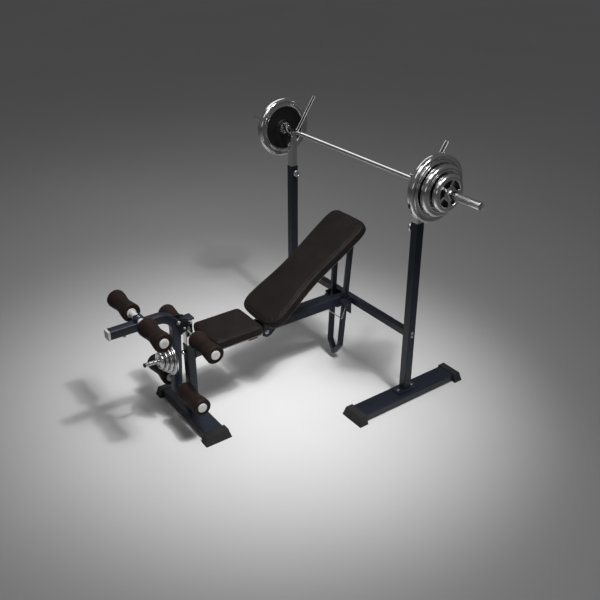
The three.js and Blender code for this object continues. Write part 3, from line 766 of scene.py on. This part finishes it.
def spoke(angle, inner, outer, low, high):
    """A flat bar from the hub to the rim, a little narrower at its middle."""
    form = bmesh.new()
    rings = []
    edge = 0.0015
    steps = 6
    for step in range(steps + 1):
        reach = inner + (outer - inner) * step / steps
        pinch = 1 - 0.22 * math.sin(math.pi * step / steps)
        half = reach * math.tan(SPOKE_HALF_SPAN) * pinch
        ring = [
            (-half, low + edge), (-half + edge, low), (half - edge, low), (half, low + edge),
            (half, high - edge), (half - edge, high), (-half + edge, high), (-half, high - edge),
        ]
        rings.append([form.verts.new((reach, side, along)) for side, along in ring])
    skinned(form, rings)
    form.transform(Matrix.Rotation(angle, 4, "Z"))
    return form


def add_window_plate(node, sign):
    """The small plate: a rim and a hub joined by five spokes, with a dark disc in its windows that
    paints the shade seen through them.
    """
    plate = PLATES["small"]
    start = plate.start
    thickness = plate.thickness
    recess = thickness * RECESS_SHARE
    hub_radius = plate.web_inner + 0.003
    rim = rim_profile(plate.radius, plate.web_outer - 0.003, start, thickness, recess)
    hub = hub_profile(SLEEVE_BORE, hub_radius, start, recess)
    forms = [
        lathe(rim + mirrored(rim, start, thickness), 112, closed=True),
        lathe(hub + mirrored(hub, start, thickness), 72, closed=True),
    ]
    low = start + recess
    high = start + thickness - recess
    for index in range(SPOKES):
        angle = SPOKE_START + TURN * index / SPOKES
        forms.append(spoke(angle, plate.web_inner, plate.web_outer - 0.0015, low, high))
    form = joined(*forms)
    form.transform(Matrix.Rotation(TURN / 4, 4, "Z"))
    stand_in(node, on_bar(form, sign), sharp=40)
    # The dark disc behind the spokes is painted shade in the windows.
    inner = hub_radius - 0.0005
    outer = plate.web_outer - 0.0025
    low = start + 0.003
    high = start + 0.005
    shade = [(inner, high), (inner, low), (outer, low), (outer, high)]
    disc = on_bar(lathe(shade, 72, closed=True), sign)
    add_piece(f"{node}_shade", disc, BODY_OF[node], "chrome", DARK_PAINT_AND_SHADE)


def add_plate_web(side, sign):
    """The dark disc in the large plate, on the side towards the rack."""
    plate = PLATES["large"]
    hub_face = plate.start - 0.001
    floor = plate.start + plate.thickness * RECESS_SHARE - 0.0012
    front = [
        (SLEEVE_FLANGE["radius"] + 0.0006, hub_face), (plate.web_inner - 0.001, hub_face),
        (plate.web_inner + 0.001, plate.start), (plate.web_inner + 0.006, floor),
        (plate.web_outer - 0.001, floor),
    ]
    back = [(radius, along + 0.0009) for radius, along in reversed(front)]
    disc = on_bar(lathe(front + back, 112, closed=True), sign)
    add_piece(f"plate_web_{side}", disc, f"{side}_plates", "chrome", DARK_PAINT_AND_SHADE)


def add_barbell_end(side, sign):
    add_sleeve(side, sign)
    for size in ("large", "medium"):
        node = f"plate_{size}_{side}"
        add_weight_plate(node, PLATES[size], SLEEVE_BORE, lambda form: on_bar(form, sign))
    add_window_plate(f"plate_small_{side}", sign)
    add_plate_web(side, sign)


add_bar()
for side, sign in SIDES.items():
    add_barbell_end(side, sign)


# ---- Leg developer ----

ARM_Z = 0.685
ARM_LEAN = math.radians(3.05)
ARM_BEND = {"y": -0.6897, "z": 0.589, "radius": 0.096}
ARM_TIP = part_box("developer_arm")[0].y
ARM_FOOT = 0.206
ARM_DOWN = Vector((0, -math.sin(ARM_LEAN), -math.cos(ARM_LEAN)))
HOLDER_HEIGHT = 0.048
CABLE_EYE = {"y": -0.876, "z": 0.6525, "radius": 0.0105, "wire": 0.0032}
BRACKET_BOLT_PLACE = {"side": 0.0293, "behind": 0.0305, "below": 0.0426}


def arm_path():
    """The arm's centre line: level from its tip, round its bend, then down to its foot."""
    y, z, radius = ARM_BEND.values()
    path = [Vector((0, ARM_TIP, ARM_Z))]
    steps = 22
    for step in range(steps + 1):
        angle = TURN / 4 - (TURN / 4 + ARM_LEAN) * step / steps
        path.append(Vector((0, y + radius * math.cos(angle), z + radius * math.sin(angle))))
    drop = (path[-1].z - ARM_FOOT) / math.cos(ARM_LEAN)
    path.append(path[-1] + ARM_DOWN * drop)
    return path


def add_arm():
    """The bent tube, with the holder of the front rollers and the boss of its hinge."""
    tube = sweep(box_section(0.05, 0.048, 0.005), arm_path(), X)
    holder = slab(box_section(0.05, 0.046, 0.01, 6), HOLDER_HEIGHT, 0.0015)
    half = 0.0252
    ease = 0.0007
    boss = lathe([
        (0, -half), (0.01, -half), (0.011, ease - half),
        (0.011, half - ease), (0.01, half), (0, half),
    ], 36)
    placed(holder, (0, middle("front_axle").y, ARM_Z), Z)
    placed(boss, middle("developer_bolt"), X)
    stand_in("developer_arm", joined(tube, holder, boss), sharp=30)


def add_cable_eye():
    """A ring of wire under the arm's level part, for a cable."""
    steps = 40
    radius = CABLE_EYE["radius"]
    angles = [TURN * step / steps for step in range(steps)]
    ring = [Vector((0, radius * math.cos(angle), radius * math.sin(angle))) for angle in angles]
    eye = sweep(round_section(CABLE_EYE["wire"], 12), ring, X, closed=True)
    eye.transform(Matrix.Translation((0, CABLE_EYE["y"], CABLE_EYE["z"])))
    add_piece("cable_eye", eye, "developer", "chrome")


def add_developer_fittings():
    """The spacers of the front rollers, the small bolts and the plug in the arm's foot."""
    bore = 0.0085
    outer = 0.0195
    inner_end = 0.0255
    outer_end = 0.0775
    front = middle("front_axle")
    for side, sign in SIDES.items():
        spacer = lathe([
            (bore, inner_end), (outer - 0.001, inner_end), (outer, inner_end + 0.001),
            (outer, outer_end - 0.002), (outer - 0.0012, outer_end), (bore, outer_end),
        ], 48, closed=True)
        form = placed(spacer, front, X * sign)
        add_piece(f"front_spacer_{side}", form, "developer", "board", GREY_PLASTIC, 30)
    add_bolt("holder_bolt", "developer", (0, front.y, ARM_Z + HOLDER_HEIGHT), Z, **BRACKET_BOLT)
    hinge = middle("developer_bolt")
    behind = hinge.y + BRACKET_BOLT_PLACE["behind"]
    below = hinge.z - BRACKET_BOLT_PLACE["below"]
    for side, sign in SIDES.items():
        origin = (sign * BRACKET_BOLT_PLACE["side"], behind, below)
        add_bolt(f"bracket_bolt_{side}", "leg_post", origin, X * sign, **BRACKET_BOLT)
    plug = slab(box_section(0.046, 0.044, 0.004), 0.0035, 0.001)
    form = placed(plug, arm_path()[-1] - ARM_DOWN * 0.0005, ARM_DOWN)
    add_piece("arm_foot_plug", form, "developer", "rubber")


# ---- Weight peg and its plates ----

PEG_DIRECTION = Vector((0, -math.cos(ARM_LEAN), math.sin(ARM_LEAN)))
PEG_MIDDLE = Vector((0, -0.6024, 0.424))
PEG = {"radius": 0.0125, "start": 0.0243, "flange": 0.021, "tip": 0.19, "cap": 0.007}
THREAD = {"pitch": 0.0085, "depth": 0.0016, "start": 0.034}
PEG_PLATE = {"start": 0.0296, "thickness": 0.018, "pitch": 0.0185}
PEG_PLATE_RADII = (0.095, 0.08, 0.065, 0.048)


def on_peg(form):
    return placed(form, PEG_MIDDLE, PEG_DIRECTION)


def thread(radius, angle, along):
    """A coarse V thread on the peg's plain part."""
    if abs(radius - PEG["radius"]) > 0.0005 or along < THREAD["start"]:
        return 0
    turn = (along / THREAD["pitch"] - angle / TURN) % 1
    return -THREAD["depth"] * abs(2 * turn - 1)


def add_peg():
    """A threaded peg with a flange at the arm and a dark tip."""
    radius, start, flange, tip, cap_length = PEG.values()
    flange_end = start + 0.005
    shaft_end = tip - cap_length
    steps = 150
    shaft_start = flange_end + 0.0002
    shaft_length = shaft_end - 0.001 - shaft_start
    shaft = [(radius, shaft_start + shaft_length * step / steps) for step in range(steps + 1)]
    profile = [
        (0, start), (flange - 0.0015, start), (flange, start + 0.001), (flange, flange_end - 0.001),
        (flange - 0.001, flange_end), (radius, flange_end), *shaft,
        (radius - 0.002, shaft_end), (0, shaft_end),
    ]
    stand_in("weight_peg", on_peg(lathe(profile, 60, ripple=thread)), sharp=60)
    cap = lathe([
        (0, shaft_end - 0.002), (0.0118, shaft_end - 0.002), (0.0121, shaft_end - 0.0005),
        (0.0118, tip - 0.003), (0.01, tip - 0.0006), (0.006, tip), (0, tip),
    ], 40)
    add_piece("peg_tip", on_peg(cap), "developer", "rubber")
    for index, outer in enumerate(PEG_PLATE_RADII):
        face = PEG_PLATE["start"] + PEG_PLATE["pitch"] * index
        plate = Plate(outer, 0.024, outer * 0.76, face, PEG_PLATE["thickness"], 0.0)
        add_weight_plate(f"peg_plate_{index + 1}", plate, 0.013, on_peg)


add_arm()
add_cable_eye()
add_developer_fittings()
add_peg()


# ---- Lock clip ----

CLIP = {"wire": 0.003, "half": 0.0707, "arm": 0.094, "bend": 0.007, "height": 0.408, "ahead": 0.058}
CLIP_TILT = math.atan2(28, 90)


def rounded_path(points, bend):
    """An open path through the points, with a curve at every corner."""
    path = [points[0]]
    steps = 8
    for before, here, after in zip(points, points[1:], points[2:]):
        into = here + (before - here).normalized() * bend
        out = here + (after - here).normalized() * bend
        for step in range(steps + 1):
            t = step / steps
            path.append(into.lerp(here, t).lerp(here.lerp(out, t), t))
    path.append(points[-1])
    return path


def add_clip():
    """A wire bail whose two ends turn in the guide's cheeks."""
    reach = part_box("lock_clip")[1].x
    half = CLIP["half"]
    arm = CLIP["arm"]
    corners = [(reach, 0), (half, 0), (half, -arm), (-half, -arm), (-half, 0), (-reach, 0)]
    path = rounded_path([Vector((a, 0, b)) for a, b in corners], CLIP["bend"])
    form = sweep(round_section(CLIP["wire"], 14), path, Y)
    pivot = Vector((0, RACK_Y - CLIP["ahead"], CLIP["height"]))
    form.transform(Matrix.Translation(pivot) @ Matrix.Rotation(-CLIP_TILT, 4, "X"))
    stand_in("lock_clip", form, sharp=60)


add_clip()


# ---- Post head ----

def add_post_head():
    """A cap plate that overhangs the inner post's bare top, and the packing of the bracket."""
    low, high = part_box("post_head")
    centre = middle("front_inner_post")
    tube = 2 * (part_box("front_inner_post")[1].x - centre.x)
    tube_front = centre.y - tube / 2
    plate = 0.009
    bare = high.z - plate - low.z
    cap = slab(box_section(0.06, high.y - low.y + 0.006, 0.003), plate, 0.0012)
    cap.transform(Matrix.Translation((centre.x, (low.y + high.y) / 2, high.z - plate)))
    packing = slab(box_section(0.036, tube_front - low.y, 0.001), bare, 0.0008)
    packing.transform(Matrix.Translation((centre.x, (low.y + tube_front) / 2, low.z)))
    stand_in("post_head", joined(cap, packing))
    top = slab(box_section(tube, tube, 0.004), bare, 0.0004)
    top.transform(Matrix.Translation((centre.x, centre.y, low.z)))
    add_piece("post_top", top, BODY_OF["post_head"], "chrome")


add_post_head()


# ---- Foam rollers ----

ROLLER = {"end": 0.0518, "waist": 0.0425, "bore": 0.0086, "fold": 0.0215}
ROLLER_OUTSET = {"knee": 0.008, "front": 0.0, "lower": 0.006}  # towards the end of the axle
DISC_BACK = -0.0055
OUTER_DISC = [
    (0, 0.003), (0.004, 0.0029), (0.0046, 0.0022), (0.006, 0.0022), (0.0066, 0.0029),
    (0.015, 0.0027), (0.0156, 0.0021), (0.017, 0.0021), (0.0176, 0.0027), (0.0235, 0.0024),
    (0.0252, 0.0014), (0.0258, -0.0005), (0.0255, DISC_BACK), (0, DISC_BACK),
]
INNER_DISC = [
    (0.009, 0.002), (0.0235, 0.0018), (0.0252, 0.001), (0.0258, -0.0008),
    (0.0255, DISC_BACK), (0.009, DISC_BACK),
]


def roller_profile(length):
    """Half of a roller from its outer face to its middle: a dished face, a rolled rim, a fold."""
    end, waist, bore, fold = ROLLER.values()
    profile = [
        (bore, 0.0065), (0.0265, 0.0062), (0.03, 0.0035), (0.0345, 0.0012),
        (end - 0.0098, 0.0002), (end - 0.0058, 0.0008), (end - 0.0026, 0.003),
        (end - 0.0006, 0.0062), (end, 0.0105), (end - 0.0004, 0.0145), (end - 0.0016, 0.0172),
        (end - 0.0018, 0.019), (end - 0.0012, fold),
    ]
    steps = 14
    for step in range(1, steps + 1):
        along = fold + (length / 2 - fold) * step / steps
        fullness = math.sin(TURN / 4 * (along - fold) / (length / 2 - fold)) ** 1.6
        profile.append((end - 0.0012 - (end - 0.0012 - waist) * fullness, along))
    return profile


def roller_lumps(seed):
    """Soft lumps over the skin of one roller, and none on its face."""
    def ripple(radius, angle, along):
        if radius < 0.031:
            return 0
        spot = Vector((math.cos(angle), math.sin(angle), along * 18 + seed))
        return 0.0011 * noise.noise(spot * 1.7) - 0.0003
    return ripple


def add_roller(name, side, sign, seed):
    """A foam roller and the two grey discs that close it, in the place of its CAD node."""
    node = f"{name}_roller_{side}"
    low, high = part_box(node)
    centre = (low + high) / 2
    length = high.x - low.x
    half = roller_profile(length)
    profile = half + [(radius, length - along) for radius, along in reversed(half[:-1])]
    inner_end = min(abs(low.x), abs(high.x)) + ROLLER_OUTSET[name]
    start = Vector((sign * inner_end, centre.y, centre.z))
    form = placed(lathe(profile, 96, closed=True, ripple=roller_lumps(seed)), start, X * sign)
    foam = stand_in(node, form, sharp=70)
    inner = lathe(INNER_DISC, 64, closed=True)
    outer = lathe(OUTER_DISC, 64)
    for label, disc, reach, way in (("inner", inner, 0.0, -sign), ("outer", outer, length, sign)):
        placed(disc, start + X * (sign * reach), X * way)
        add_piece(f"{node}_disc_{label}", disc, BODY_OF[node], "board", GREY_PLASTIC, 30)


for number, name in enumerate(("knee", "front", "lower")):
    for side, sign in SIDES.items():
        add_roller(name, side, sign, 3.1 * number + 1.7 * sign)


# ---- Seat and backrest pads ----

CLOTH_FRAMES = 20
INCLINE = math.radians(33.6)
PAD_WRAP = 0.004  # how far both covers reach down over the edges of their boards
SEAT_PAD = {"wider": 0.005, "shorter": 0.002, "corner": 0.027, "ahead": 0.003}
BACKREST = {"low": -0.391, "high": 0.434, "thickness": 0.045}
BACKREST_WIDENING = 1.045
BACKREST_PLACE = (
    Matrix.Translation((0, 0.226, 0.7194))
    @ Matrix.Rotation(INCLINE, 4, "X")
    @ Matrix.Translation((0, 0, -BACKREST["thickness"] - PAD_WRAP))
)


def resampled(outline, spacing):
    """A closed outline with its points evenly spread."""
    points = []
    left = 0.0
    for index, point in enumerate(outline):
        following = outline[(index + 1) % len(outline)]
        length = (following - point).length
        while left < length:
            points.append(point.lerp(following, left / length))
            left += spacing
        left -= length
    return points


def pad_form(outline, height, edge):
    """A closed pad over an outline: flat below, with its upper edge rounded."""
    levels = [(0.0035, 0.0), (0.0008, 0.001), (0.0, 0.004)]
    steps = 6
    for step in range(steps + 1):
        angle = TURN / 4 * step / steps
        levels.append((edge * (1 - math.cos(angle)), height - edge + edge * math.sin(angle)))
    return layered(outline, levels)


def remeshed(form):
    """The form as an object with one even skin, ready for cloth."""
    mesh = mesh_of("pad", form)
    work = linked("pad", mesh)
    remesh = work.modifiers.new("remesh", "REMESH")
    remesh.mode = "VOXEL"
    remesh.voxel_size = 0.0055
    graph = bpy.context.evaluated_depsgraph_get()
    work.data = bpy.data.meshes.new_from_object(work.evaluated_get(graph))
    work.modifiers.clear()
    bpy.data.meshes.remove(mesh)
    return work


def inflate(work, limit):
    """Swells the pad with cloth pressure: outwards only, within a limit, with a flat underside."""
    rest = [vertex.co.copy() for vertex in work.data.vertices]
    outward = [vertex.normal.copy() for vertex in work.data.vertices]
    held = work.vertex_groups.new(name="held")
    held.add([index for index, point in enumerate(rest) if point.z < 0.004], 1.0, "REPLACE")
    cloth = work.modifiers.new("cloth", "CLOTH")
    cloth.settings.use_pressure = True
    cloth.settings.uniform_pressure_force = 4.0
    cloth.settings.vertex_group_mass = held.name
    cloth.settings.effector_weights.gravity = 0
    cloth.point_cache.frame_start = 1
    cloth.point_cache.frame_end = CLOTH_FRAMES
    scene = bpy.context.scene
    for number in range(1, CLOTH_FRAMES + 1):
        scene.frame_set(number)
    graph = bpy.context.evaluated_depsgraph_get()
    swollen = [vertex.co.copy() for vertex in work.evaluated_get(graph).data.vertices]
    work.modifiers.clear()
    work.vertex_groups.clear()
    scene.frame_set(1)
    for vertex, start, normal, end in zip(work.data.vertices, rest, outward, swollen):
        rise = max(0.0, (end - start).dot(normal))
        vertex.co = start + normal * (math.tanh(rise / limit) * limit)
        vertex.co.z = max(0.0, vertex.co.z)


def add_pad(node, outline, height, edge, swell, place):
    """An upholstered pad in its own axes, with X and Y in its plane, then put in place."""
    work = remeshed(pad_form(resampled(outline, 0.006), height, edge))
    inflate(work, swell)
    form = bmesh.new()
    form.from_mesh(work.data)
    bpy.data.objects.remove(work)
    form.transform(place)
    pad = stand_in(node, form, sharp=180)
    subdivision = pad.modifiers.new("subdivision", "SUBSURF")
    subdivision.levels = 1
    subdivision.render_levels = 1


def bezier(start, first, second, end, steps=14):
    points = []
    for step in range(steps):
        t = step / steps
        s = 1 - t
        near = start * s**3 + first * (3 * s * s * t)
        points.append(near + second * (3 * s * t * t) + end * t**3)
    return points


def backrest_outline():
    """The backrest seen square on, wide at the hips and drawn in at its middle."""
    low = BACKREST["low"]
    high = BACKREST["high"]
    hips = (0.164, low + 0.105)
    waist = (0.138, 0.01)
    shoulder = (0.151, high - 0.092)
    crown = (0.092, high - 0.002)
    curves = (
        ((0.092, low + 0.003), (0.146, low + 0.008), (0.168, low + 0.048), hips),
        (hips, (0.16, -0.19), (0.138, -0.11), waist),
        (waist, (0.138, 0.1), (0.15, 0.18), shoulder),
        (shoulder, (0.151, high - 0.034), (0.135, high - 0.004), crown),
    )
    right = [Vector((0, low, 0))]
    for corners in curves:
        right += bezier(*[Vector((x, y, 0)) for x, y in corners])
    right.append(Vector((*crown, 0)))
    left = [Vector((-point.x, point.y, 0)) for point in reversed(right[1:])]
    return [*right, Vector((0, high, 0)), *left]


def add_seat_pad():
    low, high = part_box("seat_pad")
    size = high - low
    width = size.x + SEAT_PAD["wider"]
    section = box_section(width, size.y - SEAT_PAD["shorter"], SEAT_PAD["corner"], 6)
    outline = [Vector((a, b, 0)) for a, b in section]
    centre = (low + high) / 2
    place = Matrix.Translation((0, centre.y - SEAT_PAD["ahead"], low.z - PAD_WRAP))
    add_pad("seat_pad", outline, size.z + PAD_WRAP, edge=0.013, swell=0.005, place=place)


def add_backrest_pad():
    outline = [Vector((BACKREST_WIDENING * point.x, point.y, 0)) for point in backrest_outline()]
    height = BACKREST["thickness"] + PAD_WRAP + 0.002
    add_pad("backrest_pad", outline, height, edge=0.015, swell=0.006, place=BACKREST_PLACE)


add_seat_pad()
add_backrest_pad()


# ---- Floor and light ----

def add_floor():
    form = bmesh.new()
    bmesh.ops.create_grid(form, x_segments=4, y_segments=4, size=40)
    mesh = mesh_of("floor", form)
    finish = Finish("pale_floor")
    colour = finish.colours(finish.noise(0.6, 3), (0.49, 0.49, 0.49), (0.51, 0.51, 0.51))
    roughness = finish.between(finish.noise(2), 0.88, 0.95)
    mesh.materials.append(finish.wire(colour, roughness, finish.bump(finish.noise(300, 2), 0.0001)))
    linked("floor", mesh)


def add_light(name, kind, place, target, power, **settings):
    light = bpy.data.lights.new(name, kind)
    light.energy = power
    for key, value in settings.items():
        setattr(light, key, value)
    lamp = linked(name, light)
    lamp.location = place
    lamp.visible_camera = False
    lamp.rotation_mode = "QUATERNION"
    lamp.rotation_quaternion = (Vector(target) - Vector(place)).to_track_quat("-Z", "Y")


def add_soft_box(name, place, target, width, depth, radiance):
    """A rectangle of even light; an area lamp's radiance is its power over pi times its area."""
    power = math.pi * width * depth * radiance
    add_light(name, "AREA", place, target, power, shape="RECTANGLE", size=width, size_y=depth)


LAMP_PLACE = (2.26, 0.28, 5.07)
POOL_MIDDLE = (0, -0.04, 0)
# The pool's lamps: name, power, spread in degrees and softness.
POOL_LAMPS = (("key", 480, 40, 0.14), ("pool_wide", 240, 44, 0.9), ("pool", 1250, 27, 0.7))
# The boxes that show in the plating: name, place, target, width, depth and radiance.
SOFT_BOXES = (
    ("front_box", (0.9, -0.45, 3.1), (0.9, -0.35, 0), 3.3, 0.8, 2.0),
    ("top_box", (-2.0, 0.75, 3.1), (-1.9, 0.75, 0), 2.2, 1.9, 1.3),
    ("rail_box", (0.3, -1.7, 3.3), (0, 0.4, 1.0), 1.8, 1.0, 1.0),
    ("near_box", (3.4, -3.4, 1.9), (0, 0, 0.7), 1.6, 1.2, 0.9),
)


def add_lights():
    for name, power, spread, softness in POOL_LAMPS:
        add_light(name, "SPOT", LAMP_PLACE, POOL_MIDDLE, power,
                  spot_size=math.radians(spread), spot_blend=1.0, shadow_soft_size=softness)
    for box in SOFT_BOXES:
        add_soft_box(*box)
    world = bpy.data.worlds.new("studio")
    world.use_nodes = True
    backdrop = world.node_tree.nodes["Background"]
    backdrop.inputs["Color"].default_value = (0.42, 0.42, 0.43, 1)
    backdrop.inputs["Strength"].default_value = 0.27
    bpy.context.scene.world = world
    bpy.context.scene.view_settings.view_transform = "Standard"


add_floor()
add_lights()
